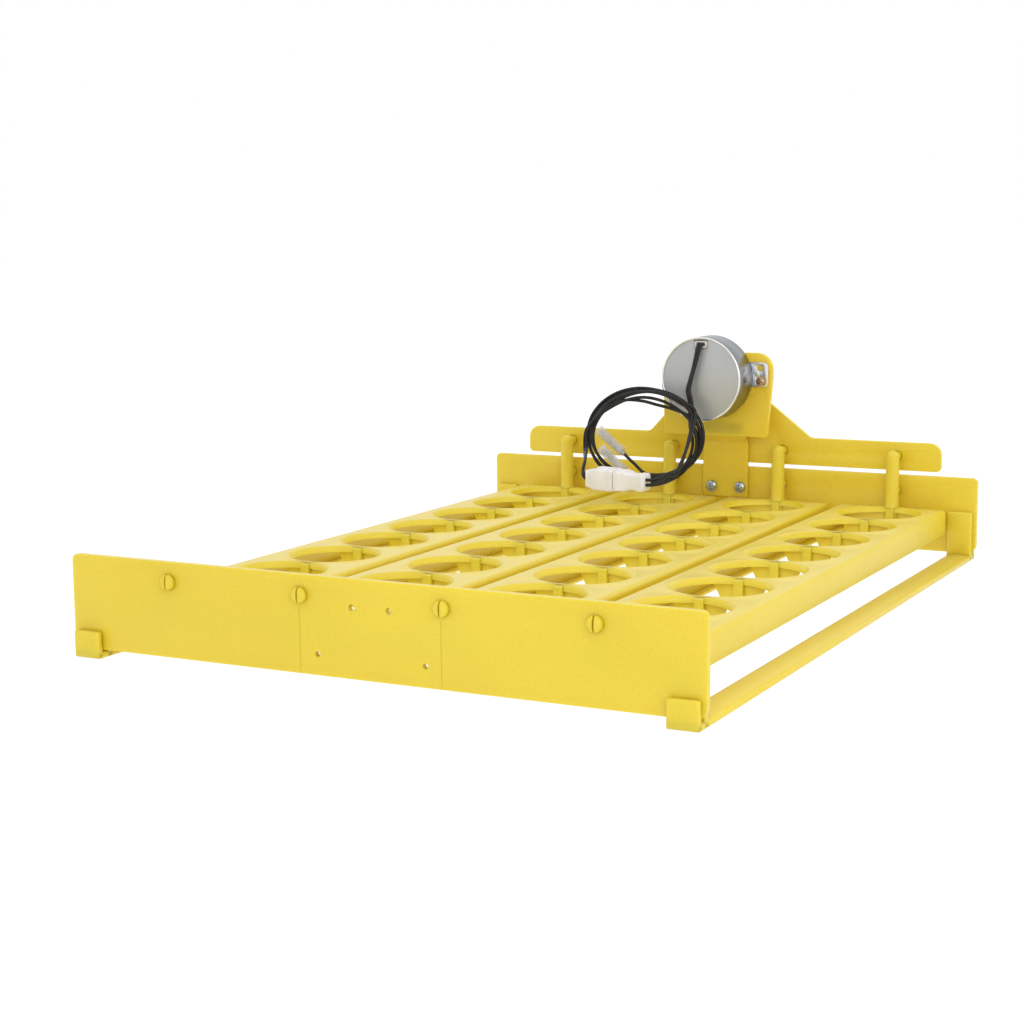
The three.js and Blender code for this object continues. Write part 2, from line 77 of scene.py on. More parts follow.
LINK_FRONT = 206.4
SCREWS_X = [-5.7, 12.7]
SCREW_Z = 35
LOW_HOLES_X = [-23.2, 30.2]
LOW_HOLE_Z = 13.2
MOULD_LINES_X = [TRAY_X[1] - 0.4, TRAY_X[2] - 0.4]
MOULD_LINE_TOP = 33
CRANK_RADIUS = 9.1
CRANK_PIN_RADIUS = 2.5
BRACKET_FRONT = 192.6
BRACKET_THICK = 3
MOTOR_X = -0.7
MOTOR_Z = 102.6
MOTOR_RADIUS = 25
MOTOR_BACK = 171
MOTOR_FRONT = 191
LEAD_SLOT_Z = MOTOR_Z + 20.8
EAR_REACH = 29.7
EAR_OUTER = 34.1
EAR_DROP = 5.2
EAR_RISE = 9.4
EAR_HOLE_RISE = 6.1
SCREW_DROP = 1.9
LEAD_DIAMETER = 1.9
LEAD_STEP = 1.6  # between the points of a lead's line
COIL = Vector((-33, 163, 66.5))
COIL_RADIUS = 27.8
COIL_STRETCH = 1.24
CONNECTOR = Vector((-31.5, 121, 47.2))
CONNECTOR_TURN = math.radians(9)
TERMINALS = [Vector((-51, 153, 66)), Vector((-47.5, 148.5, 55.5))]
TERMINAL_TILT = math.radians(40)


# ---- camera ----
def make_camera():
    """Looks at the front plate from the right and a little above."""
    azimuth = math.radians(27.582)
    elevation = math.radians(8.673)
    roll = math.radians(-0.517)
    back = Vector((
        math.sin(azimuth) * math.cos(elevation),
        -math.cos(azimuth) * math.cos(elevation),
        math.sin(elevation)))
    right = Vector((0, 0, 1)).cross(back).normalized()
    up = back.cross(right)
    turned_right = right * math.cos(roll) + up * math.sin(roll)
    turned_up = up * math.cos(roll) - right * math.sin(roll)
    data = bpy.data.cameras.new("camera")
    data.sensor_width = 36
    data.lens = 1918.6 / 1024 * 36
    data.clip_start = 0.05
    data.clip_end = 20
    camera = bpy.data.objects.new("camera", data)
    bpy.context.scene.collection.objects.link(camera)
    place = Matrix.Identity(4)
    for row in range(3):
        place[row][0] = turned_right[row]
        place[row][1] = turned_up[row]
        place[row][2] = back[row]
    place.translation = Vector((424.0, -883.6, 197.0)) * MM
    camera.matrix_world = place
    bpy.context.scene.camera = camera


make_camera()


# ---- materials ----
class Nodes:
    """A new node material with its Principled shader, and short calls to add to it."""

    def __init__(self, name):
        self.material = bpy.data.materials.new(name)
        self.material.use_nodes = True
        self.tree = self.material.node_tree
        self.shader = self.tree.nodes["Principled BSDF"]
        self.place = self.tree.nodes.new("ShaderNodeTexCoord").outputs["Object"]

    def set(self, **values):
        for key, value in values.items():
            self.shader.inputs[key.replace("_", " ")].default_value = value

    def add(self, kind, **values):
        node = self.tree.nodes.new(kind)
        for key, value in values.items():
            setattr(node, key, value)
        return node

    def link(self, a, b):
        self.tree.links.new(a, b)

    def stretched(self, scale):
        mapping = self.add("ShaderNodeMapping")
        mapping.inputs["Scale"].default_value = scale
        self.link(self.place, mapping.inputs["Vector"])
        return mapping.outputs["Vector"]

    def noise(self, scale, detail=3, vector=None):
        node = self.add("ShaderNodeTexNoise")
        node.inputs["Scale"].default_value = scale
        node.inputs["Detail"].default_value = detail
        self.link(vector or self.place, node.inputs["Vector"])
        return node.outputs["Fac"]

    def ramp(self, value, stops):
        node = self.add("ShaderNodeValToRGB")
        while len(node.color_ramp.elements) < len(stops):
            node.color_ramp.elements.new(0.5)
        for element, (position, colour) in zip(node.color_ramp.elements, stops):
            element.position = position
            element.color = colour
        self.link(value, node.inputs["Fac"])
        return node.outputs["Color"]

    def mix(self, factor, a, b, blend="MIX"):
        node = self.add("ShaderNodeMix", data_type="RGBA", blend_type=blend)
        for socket, value in (("Factor", factor), ("A", a), ("B", b)):
            target = next(
                s for s in node.inputs
                if s.name == socket and s.type == ("VALUE" if socket == "Factor" else "RGBA"))
            if isinstance(value, bpy.types.NodeSocket):
                self.link(value, target)
            else:
                target.default_value = value
        return next(s for s in node.outputs if s.type == "RGBA")

    def bump(self, height, depth_mm, strength):
        """Bumps added in turn: each takes the one before it as its normal."""
        node = self.add("ShaderNodeBump")
        node.inputs["Strength"].default_value = strength
        node.inputs["Distance"].default_value = depth_mm * MM
        self.link(height, node.inputs["Height"])
        before = self.shader.inputs["Normal"].links
        if before:
            self.link(before[0].from_socket, node.inputs["Normal"])
        self.link(node.outputs["Normal"], self.shader.inputs["Normal"])

    def facing_up(self):
        """1 on level tops, which are given a painted paler highlight, and 0 everywhere else."""
        place = self.add("ShaderNodeTexCoord")
        parts = self.add("ShaderNodeSeparateXYZ")
        self.link(place.outputs["Normal"], parts.inputs["Vector"])
        edge = self.add("ShaderNodeMapRange")
        edge.inputs["From Min"].default_value = 0.93
        edge.inputs["From Max"].default_value = 0.99
        self.link(parts.outputs["Z"], edge.inputs["Value"])
        return edge.outputs["Result"]

    def roughness(self, value, low, high):
        node = self.add("ShaderNodeMapRange")
        node.inputs["To Min"].default_value = low
        node.inputs["To Max"].default_value = high
        self.link(value, node.inputs["Value"])
        self.link(node.outputs["Result"], self.shader.inputs["Roughness"])


def grey(value, warm=0.0):
    """A grey that is warmed, or cooled where warm is below 0."""
    return (value * (1 + warm), value, value * (1 - warm), 1)


def yellow_plastic(name, light, dark):
    """Slightly see-through moulded plastic: cloudy colour, with painted shade darkening its corners and a
    painted highlight on its level tops.
    """
    n = Nodes(name)
    cloud = n.ramp(n.noise(14, 2), [(0.3, dark), (0.7, light)])
    speck = n.ramp(n.noise(900, 2), [(0.35, grey(0.96)), (0.7, grey(1.02))])
    plain = n.mix(1.0, cloud, speck, "MULTIPLY")
    # painted highlight: level tops are mixed towards a paler yellow
    colour = n.mix(n.facing_up(), plain, (0.75, 0.60, 0.11, 1))
    # painted shade: where ambient occlusion finds corners and recesses, the colour is multiplied darker
    corner = n.add("ShaderNodeAmbientOcclusion", samples=6)
    corner.inputs["Distance"].default_value = 12 * MM
    painted_shade_colour = n.mix(1.0, colour, (0.96, 0.92, 0.70, 1), "MULTIPLY")
    painted_shade_mask = n.ramp(corner.outputs["AO"], [(0.25, grey(0)), (0.95, grey(1))])
    n.link(n.mix(painted_shade_mask, painted_shade_colour, colour), n.shader.inputs["Base Color"])
    n.roughness(n.noise(60, 4), 0.30, 0.44)
    n.bump(n.noise(30, 2), 0.12, 0.5)
    n.bump(n.noise(1500, 2), 0.01, 0.5)
    n.set(Subsurface_Weight=0.3, Subsurface_Scale=0.006, Specular_IOR_Level=0.45)
    n.shader.inputs["Subsurface Radius"].default_value = (1.0, 0.8, 0.2)
    return n.material


def brushed_metal(name, low, high, rough, grain, metallic=1.0):
    """Rolled or turned sheet metal; grain is how far the brush marks stretch along each axis."""
    n = Nodes(name)
    streak = n.noise(40, 6, n.stretched(grain))
    cloud = n.noise(25, 3)
    colour = n.mix(0.5, n.ramp(streak, [(0.3, low), (0.7, high)]), n.ramp(cloud, [(0.3, low), (0.7, high)]))
    n.link(colour, n.shader.inputs["Base Color"])
    n.roughness(streak, rough - 0.06, rough + 0.1)
    n.bump(streak, 0.02, 0.4)
    n.set(Metallic=metallic)
    return n.material


def milky_nylon(name, light, dark, soft):
    n = Nodes(name)
    n.link(n.ramp(n.noise(120, 3), [(0.3, dark), (0.7, light)]), n.shader.inputs["Base Color"])
    n.roughness(n.noise(300, 3), 0.28, 0.42)
    n.bump(n.noise(700, 2), 0.015, 0.5)
    n.set(Subsurface_Weight=soft, Subsurface_Scale=0.003)
    return n.material


def black_pvc():
    n = Nodes("black_lead_sheath")
    n.link(
        n.ramp(n.noise(400, 3), [(0.3, grey(0.008)), (0.7, grey(0.02))]),
        n.shader.inputs["Base Color"])
    n.roughness(n.noise(250, 3), 0.3, 0.5)
    n.bump(n.noise(1800, 2), 0.02, 0.5)
    n.set(Specular_IOR_Level=0.3)
    return n.material


def clear_sleeve():
    n = Nodes("clear_sleeve")
    n.link(
        n.ramp(n.noise(200, 2), [(0.3, (0.62, 0.59, 0.56, 1)), (0.7, (0.72, 0.69, 0.66, 1))]),
        n.shader.inputs["Base Color"])
    n.roughness(n.noise(300, 3), 0.24, 0.34)
    n.set(Alpha=0.34, IOR=1.4)
    return n.material


def copper_winding():
    n = Nodes("copper_winding")
    wave = n.add("ShaderNodeTexWave", wave_type="BANDS", bands_direction="Y")
    wave.inputs["Scale"].default_value = 800
    wave.inputs["Distortion"].default_value = 0.6
    n.link(n.place, wave.inputs["Vector"])
    n.link(
        n.ramp(wave.outputs["Fac"], [(0.2, (0.30, 0.09, 0.03, 1)), (0.8, (0.75, 0.30, 0.13, 1))]),
        n.shader.inputs["Base Color"])
    n.roughness(n.noise(300, 3), 0.25, 0.45)
    n.bump(wave.outputs["Fac"], 0.08, 0.6)
    n.set(Metallic=0.9)
    return n.material


def ferrite():
    n = Nodes("ferrite_magnet")
    n.link(
        n.ramp(n.noise(900, 4), [(0.35, grey(0.03)), (0.75, grey(0.09))]),
        n.shader.inputs["Base Color"])
    n.roughness(n.noise(200, 3), 0.55, 0.75)
    n.bump(n.noise(1200, 4), 0.03, 0.6)
    n.set(Metallic=0.2)
    return n.material


YELLOW = yellow_plastic("yellow_plastic", (0.74, 0.58, 0.040, 1), (0.70, 0.54, 0.032, 1))
YELLOW_DEEP = yellow_plastic("yellow_plastic_deep", (0.80, 0.60, 0.046, 1), (0.75, 0.55, 0.036, 1))
CAN_STEEL = brushed_metal("motor_can_steel", grey(0.20, -0.08), grey(0.30, -0.06), 0.26, (1, 0.15, 1))
FACE_METAL = brushed_metal("motor_face_metal", grey(0.41, -0.03), grey(0.49, -0.03), 0.42, (1, 1, 0.2), 0.5)
RIM_STEEL = brushed_metal("bright_rim_steel", grey(0.72), grey(0.88), 0.2, (1, 1, 1))
ZINC = brushed_metal("bright_zinc", grey(0.68, -0.01), grey(0.85), 0.2, (1, 1, 0.3))
BLUE_ZINC = brushed_metal("blue_zinc_screw", (0.30, 0.36, 0.42, 1), (0.55, 0.62, 0.70, 1), 0.22, (1, 1, 1))
BRONZE_ZINC = brushed_metal(
    "bronze_toned_screw", (0.36, 0.22, 0.13, 1), (0.56, 0.40, 0.28, 1), 0.25, (1, 1, 1))
SHAFT_STEEL = brushed_metal("shaft_steel", grey(0.45), grey(0.65), 0.25, (1, 0.1, 1))
TIN = brushed_metal("tinned_terminal", grey(0.46), grey(0.54), 0.42, (1, 1, 1))
NYLON = milky_nylon("natural_nylon", (0.86, 0.83, 0.82, 1), (0.78, 0.74, 0.73, 1), 0.12)
GEAR_NYLON = milky_nylon("gear_nylon", (0.80, 0.77, 0.66, 1), (0.70, 0.66, 0.54, 1), 0.2)
BUSH = milky_nylon("pale_bush", (0.66, 0.64, 0.60, 1), (0.56, 0.54, 0.50, 1), 0.05)
BLACK = black_pvc()
CLEAR = clear_sleeve()
COPPER = copper_winding()
FERRITE = ferrite()


# ---- mesh helpers ----
def finish_mesh(name, bm, body, look, nodes=(), crease=35.0):
    """Turns a bmesh in millimetres into a piece riding on a body and standing for CAD nodes."""
    bmesh.ops.recalc_face_normals(bm, faces=bm.faces)
    bmesh.ops.scale(bm, vec=(MM, MM, MM), verts=bm.verts)
    mesh = bpy.data.meshes.new(name)
    bm.to_mesh(mesh)
    bm.free()
    mesh.shade_smooth()
    mesh.set_sharp_from_angle(angle=math.radians(crease))
    mesh.materials.append(look)
    piece = bpy.data.objects.new(name, mesh)
    bpy.context.scene.collection.objects.link(piece)
    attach(piece, body)
    if nodes:
        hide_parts(*nodes)
    return piece


def merge(target, *others):
    """Adds other bmeshes to the first, and frees them."""
    for other in others:
        mesh = bpy.data.meshes.new("scratch")
        other.to_mesh(mesh)
        target.from_mesh(mesh)
        bpy.data.meshes.remove(mesh)
        other.free()
    return target


def round_edges(bm, size, steps=2, over=30.0):
    """Rounds every edge whose faces meet at more than the given angle."""
    limit = math.radians(over)
    edges = [e for e in bm.edges if len(e.link_faces) == 2 and e.calc_face_angle(0) > limit]
    if edges and size > 0:
        bmesh.ops.bevel(
            bm, geom=edges, offset=size, segments=steps, profile=0.5,
            affect="EDGES", clamp_overlap=True)
    return bm


def prism(points, low, high, axis="Y", size=0.4, steps=2):
    """A flat outline pushed along an axis. Along Y the outline is (x, z), along X it is (y, z)."""
    bm = bmesh.new()

    def at(p, depth):
        if axis == "X":
            return (depth, p[0], p[1])
        return (p[0], depth, p[1])

    near = [bm.verts.new(at(p, low)) for p in points]
    far = [bm.verts.new(at(p, high)) for p in points]
    bm.faces.new(near)
    bm.faces.new(far)
    for i in range(len(points)):
        j = (i + 1) % len(points)
        bm.faces.new((near[i], near[j], far[j], far[i]))
    bmesh.ops.recalc_face_normals(bm, faces=bm.faces)
    return round_edges(bm, size, steps)


def block(x0, x1, y0, y1, z0, z1, size=0.4, steps=2):
    return prism([(x0, z0), (x1, z0), (x1, z1), (x0, z1)], y0, y1, "Y", size, steps)


def arc(cx, cz, radius, start, end, steps=6):
    """Points round a centre from one angle in degrees to another."""
    return [
        (cx + radius * math.cos(math.radians(start + (end - start) * i / steps)),
         cz + radius * math.sin(math.radians(start + (end - start) * i / steps)))
        for i in range(steps + 1)]


def rounded(x0, x1, z0, z1, bottom, top, steps=6):
    """A rectangle with its own radius at the bottom and the top corners."""
    return (
        arc(x1 - bottom, z0 + bottom, bottom, -90, 0, steps)
        + arc(x1 - top, z1 - top, top, 0, 90, steps)
        + arc(x0 + top, z1 - top, top, 90, 180, steps)
        + arc(x0 + bottom, z0 + bottom, bottom, 180, 270, steps))


def turned(profile, x, z, sides=48, closed=False):
    """A profile of (radius, y) turned about an axis along Y. A radius of 0 ends in a point."""
    bm = bmesh.new()
    rings = []
    for radius, y in profile:
        if radius == 0:
            rings.append([bm.verts.new((x, y, z))])
            continue
        rings.append([
            bm.verts.new((
                x + radius * math.cos(2 * math.pi * i / sides), y,
                z + radius * math.sin(2 * math.pi * i / sides)))
            for i in range(sides)])
    pairs = list(zip(rings, rings[1:]))
    if closed:
        pairs.append((rings[-1], rings[0]))
    for a, b in pairs:
        for i in range(sides):
            j = (i + 1) % sides
            if len(a) == 1:
                bm.faces.new((a[0], b[j], b[i]))
            elif len(b) == 1:
                bm.faces.new((a[i], a[j], b[0]))
            else:
                bm.faces.new((a[i], a[j], b[j], b[i]))
    return bm


def cut(bm, *cutters):
    """The first solid less the others, by an exact boolean."""
    def as_object(source):
        mesh = bpy.data.meshes.new("scratch")
        bmesh.ops.recalc_face_normals(source, faces=source.faces)
        source.to_mesh(mesh)
        source.free()
        made = bpy.data.objects.new("scratch", mesh)
        bpy.context.scene.collection.objects.link(made)
        return made

    base = as_object(bm)
    tools = [as_object(c) for c in cutters]
    for tool in tools:
        change = base.modifiers.new("cut", "BOOLEAN")
        change.operation = "DIFFERENCE"
        change.solver = "EXACT"
        change.object = tool
    graph = bpy.context.evaluated_depsgraph_get()
    result = bmesh.new()
    result.from_mesh(base.evaluated_get(graph).to_mesh())
    for made in [base, *tools]:
        mesh = made.data
        bpy.data.objects.remove(made)
        bpy.data.meshes.remove(mesh)
    bmesh.ops.remove_doubles(result, verts=result.verts, dist=0.001)
    return result


def rod(x, z, y0, y1, radius, sides=32):
    return turned([(0, y0), (radius, y0), (radius, y1), (0, y1)], x, z, sides)


# ---- frame: end plates and rails ----
def plate_blank(y0):
    """An end plate with its pin bores and small holes."""
    half = PLATE_WIDTH / 2
    shape = rounded(-half, half, PLATE_BOTTOM, PLATE_TOP, 5, 3, 8)
    blank = prism(shape, y0, y0 + PLATE_THICK, size=0)
    bores = [rod(x, PIVOT_Z, y0 - 1, y0 + 4, PIN_BORE) for x in TRAY_X]
    small = [rod(x, SCREW_Z, y0 - 1, y0 + 4, 1.5, 16) for x in SCREWS_X]
    small += [rod(x, LOW_HOLE_Z, y0 - 1, y0 + 4, 1.3, 16) for x in LOW_HOLES_X]
    return round_edges(cut(blank, *bores, *small), 0.45, 3)


def front_plate():
    """The front plate, with two faint mould lines below its middle pins."""
    lines = [
        block(x - 0.4, x + 0.4, FRONT - 1, FRONT + 0.2, PLATE_BOTTOM - 1, MOULD_LINE_TOP, 0)
        for x in MOULD_LINES_X]
    bm = cut(plate_blank(FRONT), *lines)
    finish_mesh("front_end_plate", bm, "frame", YELLOW, ["front_plate"])


def back_plate():
    bm = plate_blank(BACK - PLATE_THICK)
    finish_mesh("back_end_plate", bm, "frame", YELLOW, ["back_plate"])


def side_rail(side, name, node):
    """A low strip with a rounded ridge; its ends hook round both plates."""
    end = BACK + GAP + RAIL_HOOK
    middle = side * (RAIL_INNER + RAIL_OUTER) / 2
    half = (RAIL_OUTER - RAIL_INNER) / 2
    top = [
        (middle + half * math.cos(math.radians(a)), 1.9 + 1.8 * math.sin(math.radians(a)))
        for a in range(0, 181, 12)]
    section = [(middle - half, 0), (middle + half, 0)] + top
    bm = prism(section, 0.6 - end, end - 0.6, "Y", 0.35, 2)
    x0 = min(side * RAIL_INNER, side * RAIL_OUTER)
    x1 = max(side * RAIL_INNER, side * RAIL_OUTER)
    for way in (-1, 1):
        hook = sorted((way * (BACK + GAP), way * end))
        inside = BACK - PLATE_THICK - GAP
        inner = sorted((way * (inside - 3.3), way * inside))
        merge(
            bm,
            block(x0, x1, *hook, 0, RAIL_HOOK_TOP, 0.9, 3),
            block(x0, x1, *inner, 0, RAIL_BLOCK_TOP, 0.7, 3))
    finish_mesh(name, bm, "frame", YELLOW, [node])


# ---- egg trays ----
def hole_cell(bm, cy, y0, y1, half):
    """One hole in the tray's skin: flat top out to a rectangle, a rolled rim, and the underside."""
    corner_angles = [math.atan2(y - cy, x) for x in (-half, half) for y in (y0, y1)]
    angles = sorted([2 * math.pi * i / 64 - math.pi for i in range(64)] + corner_angles)

    def on_rectangle(a, z):
        dx, dy = math.cos(a), math.sin(a)
        reach = min(
            half / abs(dx) if abs(dx) > 1e-9 else 1e9,
            ((y1 - cy) / dy if dy > 1e-9 else (y0 - cy) / dy if dy < -1e-9 else 1e9))
        return (dx * reach, cy + dy * reach, z)

    def on_circle(a, radius, z):
        return (radius * math.cos(a), cy + radius * math.sin(a), z)

    rim = [
        (26.0, 0.0), (25.5, 0.2), (24.8, 0.3), (24.1, 0.2), (23.4, -0.15), (22.8, -0.7),
        (22.35, -1.5), (22.05, -2.5), (22.2, -2.9), (23.0, -2.9), (23.4, -2.5), (23.7, -2.0)]
    loops = [[bm.verts.new(on_rectangle(a, TRAY_TOP)) for a in angles]]
    for radius, z in rim:
        loops.append([bm.verts.new(on_circle(a, radius, TRAY_TOP + z)) for a in angles])
    loops.append([bm.verts.new(on_rectangle(a, TRAY_TOP - TRAY_SKIN)) for a in angles])
    for a, b in zip(loops, loops[1:]):
        for i in range(len(angles)):
            j = (i + 1) % len(angles)
            bm.faces.new((a[i], a[j], b[j], b[i]))


def tray_wall(bm):
    """The wall round the tray: a rounded top edge and rounded corners, open below."""
    edge = TRAY_EDGE
    profile = [
        (edge * math.sin(math.radians(a)), TRAY_TOP - edge * (1 - math.cos(math.radians(a))))
        for a in range(0, 91, 15)]
    profile += [(edge, TRAY_BOTTOM + 0.5), (edge - 0.15, TRAY_BOTTOM + 0.15), (edge - 0.5, TRAY_BOTTOM)]
    inner = edge - TRAY_WALL
    profile += [
        (inner + 0.5, TRAY_BOTTOM), (inner + 0.15, TRAY_BOTTOM + 0.15), (inner, TRAY_BOTTOM + 0.5),
        (inner, TRAY_TOP - TRAY_SKIN), (0, TRAY_TOP - TRAY_SKIN)]
    x, y0, y1 = TRAY_HALF - edge, TRAY_FRONT + edge, TRAY_BACK - edge
    corners = [(x, y0, -90), (x, y1, 0), (-x, y1, 90), (-x, y0, 180)]
    loops = []
    for out, z in profile:
        loop = []
        for cx, cy, start in corners:
            for i in range(7):
                a = math.radians(start + 15 * i)
                loop.append(bm.verts.new((cx + out * math.cos(a), cy + out * math.sin(a), z)))
        loops.append(loop)
    count = len(loops[0])
    for a, b in zip(loops, loops[1:]):
        for i in range(count):
            j = (i + 1) % count
            bm.faces.new((a[i], a[j], b[j], b[i]))


def snap_pin(x, z, start, face, way):
    """A shank along Y with a split, rounded head that snaps over the far side of a plate."""
    head = 3.0
    dome = 1.2  # where the head starts to round over
    points = [(0, start), (PIN_RADIUS, start), (PIN_RADIUS, face + way * 0.25), (PIN_HEAD, face + way * 0.3)]
    for degrees in range(0, 90, 12):
        a = math.radians(degrees)
        points.append((PIN_HEAD * math.cos(a) ** 0.6, face + way * (dome + (head - dome) * math.sin(a))))
    points.append((0, face + way * head))
    pin = turned(points, x, z, 32)
    slit = block(x - 0.45, x + 0.45, *sorted((face - way * 4, face + way * (head + 1))), z - 7, z + 7, 0)
    return round_edges(cut(pin, slit), 0.4, 3, 50)


def tray_mesh():
    """One egg tray about x = 0."""
    bm = bmesh.new()
    half = TRAY_HALF - TRAY_EDGE
    cells = [(y, y - HOLE_PITCH / 2, y + HOLE_PITCH / 2) for y in HOLES_Y]
    for k, (cy, y0, y1) in enumerate(cells):
        if k == 0:
            y1 = TRAY_BACK - TRAY_EDGE
        if k == len(cells) - 1:
            y0 = TRAY_FRONT + TRAY_EDGE
        hole_cell(bm, cy, y0, y1, half)
    tray_wall(bm)
    for side in (-1, 1):
        ledge = sorted((side * (TRAY_HALF - 1), side * (TRAY_HALF - TRAY_WALL - TRAY_LEDGE)))
        merge(bm, block(*ledge, TRAY_FRONT + 1, TRAY_BACK - 1, TRAY_BOTTOM, TRAY_BOTTOM + 1.5, 0.4))
    under = TRAY_TOP - TRAY_SKIN + 0.5
    web = [(-8, TRAY_BOTTOM), (8, TRAY_BOTTOM), (14, under), (-14, under)]
    for _, _, y1 in cells[1:]:
        merge(
            bm,
            prism(web, y1 - 0.8, y1 + 0.8, "Y", 0.25, 2),
            block(-2.3, 2.3, y1 - 3.6, y1, TRAY_BOTTOM, TRAY_TOP - 0.6, 0.35, 2))
    merge(bm, block(-2.3, 2.3, 193.6, 198, TRAY_BOTTOM, TRAY_TOP - 0.6, 0.35, 2))
    ear = [
        (-12, TRAY_BOTTOM + 2), (12, TRAY_BOTTOM + 2), (12, TRAY_TOP), (5.5, PIVOT_Z + 3.4),
        (2.5, PIVOT_Z + 6), (-2.5, PIVOT_Z + 6), (-5.5, PIVOT_Z + 3.4), (-12, TRAY_TOP)]
    merge(
        bm,
        prism(ear, TRAY_FRONT, TRAY_FRONT + 3, "Y", 0.5, 2),
        round_edges(rod(0, PIVOT_Z, FRONT + PLATE_THICK + GAP, TRAY_FRONT + 1, HUB_RADIUS), 0.3),
        snap_pin(0, PIVOT_Z, TRAY_FRONT + 1, FRONT, -1),
        snap_pin(0, PIVOT_Z, COLUMN_Y, BACK, 1),
        snap_pin(0, LINK_PIN_Z, COLUMN_Y, BACK, 1),
        column())
    return bm


def column():
    """The round lever column at the tray's rear edge, with a domed top and a flared foot."""
    points = [
        (0, TRAY_BOTTOM), (COLUMN_RADIUS, TRAY_BOTTOM), (COLUMN_RADIUS, TRAY_TOP - 1),
        (COLUMN_RADIUS + 0.5, TRAY_TOP), (COLUMN_RADIUS + 0.12, TRAY_TOP + 1.2),
        (COLUMN_RADIUS, TRAY_TOP + 3)]
    points += [
        (COLUMN_RADIUS * math.cos(math.radians(a)), LINK_PIN_Z + COLUMN_RADIUS * math.sin(math.radians(a)))
        for a in range(0, 90, 10)]
    points.append((0, LINK_PIN_Z + COLUMN_RADIUS))
    bm = turned(points, 0, 0, 32)
    stand = Matrix(((1, 0, 0, 0), (0, 0, -1, COLUMN_Y), (0, 1, 0, 0), (0, 0, 0, 1)))
    bmesh.ops.transform(bm, matrix=stand, verts=bm.verts)
    return bm


def egg_trays():
    """Four like trays, each copied from the first."""
    first = tray_mesh()
    for i, x in enumerate(TRAY_X):
        bm = first.copy()
        bmesh.ops.translate(bm, vec=(x, 0, 0), verts=bm.verts)
        finish_mesh(
            f"tray_{i + 1}_moulding", bm, f"tray_{i + 1}", YELLOW,
            [f"egg_tray_{i + 1}"], 40)
    first.free()


# ---- drive ----
def link_bar():
    """The bar that joins the columns, with a raised middle and an open slot for the crank pin."""
    left, right, low, high = -132, 134.6, 50, 66.5
    cx = MOTOR_X
    tower_left, tower_right, shoulder, tower_half, top = -48.5, 55.5, 92, 24, 116.2
    slot_half, slot_floor = 3.2, MOTOR_Z - CRANK_RADIUS - CRANK_PIN_RADIUS - 1
    outline = (
        arc(right - 3, low + 3, 3, -90, 0)
        + arc(right - 7, high - 7, 7, 0, 90)
        + [(tower_right + 2, high), (tower_right - 0.6, high + 0.6), (tower_right - 2, high + 1.8)]
        + [(cx + tower_half + 1, shoulder - 1), (cx + tower_half, shoulder + 1.4)]
        + arc(cx + tower_half - 4, top - 4, 4, 0, 90)
        + [(cx + slot_half, top)]
        + arc(cx, slot_floor + slot_half, slot_half, 0, -180)
        + [(cx - slot_half, top)]
        + arc(cx - tower_half + 4, top - 4, 4, 90, 180)
        + [(cx - tower_half, shoulder + 1.4), (cx - tower_half - 1, shoulder - 1)]
        + [(tower_left + 2, high + 1.8), (tower_left + 0.6, high + 0.6), (tower_left - 2, high)]
        + arc(left + 7, high - 7, 7, 90, 180)
        + arc(left + 3, low + 3, 3, 180, 270))
    bm = prism(outline, LINK_FRONT, BACK, "Y", 0)
    bores = [rod(x, LINK_PIN_Z, LINK_FRONT - 1, BACK + 1, PIN_BORE) for x in TRAY_X]
    bm = round_edges(cut(bm, *bores), 0.45, 3)
    finish_mesh("link_bar_moulding", bm, "link", YELLOW, ["link_bar"])


def bracket():
    """The moulded plate that carries the motor, with a tongue screwed to the back plate."""
    front = BRACKET_FRONT
    left, right, foot_right, low, high = -33, 36.3, 33.4, 67.2, 117.4
    tongue_left, tongue_right = -11.5, 17.3
    outline = (
        arc(foot_right - 2, low + 2, 2, -90, -4) + [(right, high - 14)]
        + arc(right - 10, high - 10, 10, 0, 90, 10)
        + arc(left + 10, high - 10, 10, 90, 180, 10)
        + arc(left + 2, low + 2, 2, 180, 270))
    upper = prism(outline, front, front + BRACKET_THICK, "Y", 0)
    holes = [rod(MOTOR_X, MOTOR_Z, front - 1, front + 4, 6)]
    for side in (-1, 1):
        holes.append(rod(side * EAR_REACH, MOTOR_Z - side * SCREW_DROP, front - 1, front + 4, 1.8, 16))
    bm = round_edges(cut(upper, *holes), 0.6, 3)
    near = [
        (203, 29), (203, 60), (202.4, 61.8), (201, 63.2), (198, 65.2), (195, 66.8), (193.4, 68.2),
        (192.75, 70), (192.75, 75)]
    far = [
        (194.5, 75), (195.2, 71), (196.5, 69), (199, 67.2), (202, 65.4), (204.4, 63.8), (205.4, 62.2),
        (205.7, 60), (205.7, 29)]
    tongue = prism(near + far, tongue_left, tongue_right, "X", 0)
    screw_holes = [rod(x, SCREW_Z, 202, 207, 1.8, 16) for x in SCREWS_X]
    merge(bm, round_edges(cut(tongue, *screw_holes), 0.5, 3, 40))
    finish_mesh("motor_bracket_moulding", bm, "frame", YELLOW_DEEP, ["motor_bracket"])


def screw(name, x, z, face, tip, radius, shank, look, node):
    """A pan head screw along Y with a cross recess, and a washer face under the head."""
    way = 1 if face > tip else -1
    under = face - way * 1.9
    points = [(0, tip), (shank * 0.4, tip)]
    thread = int(abs(under - tip) / 0.5)
    for i in range(1, thread):
        y = tip + way * 0.5 * i
        points.append((shank if i % 2 else shank * 0.8, y))
    points += [(shank, under), (radius * 0.95, under), (radius, under + way * 0.3)]
    points += [
        (radius * math.cos(math.radians(a)), under + way * (0.6 + 1.3 * math.sin(math.radians(a))))
        for a in range(0, 90, 15)]
    points.append((0, face))
    bm = turned(points, x, z, 32)
    recess = sorted((face + way * 0.5, face - way * 1.1))
    long, wide = radius * 0.55, radius * 0.13
    bm = cut(
        bm,
        block(x - long, x + long, *recess, z - wide, z + wide, 0),
        block(x - wide, x + wide, *recess, z - long, z + long, 0))
    finish_mesh(name, bm, "frame", look, [node])


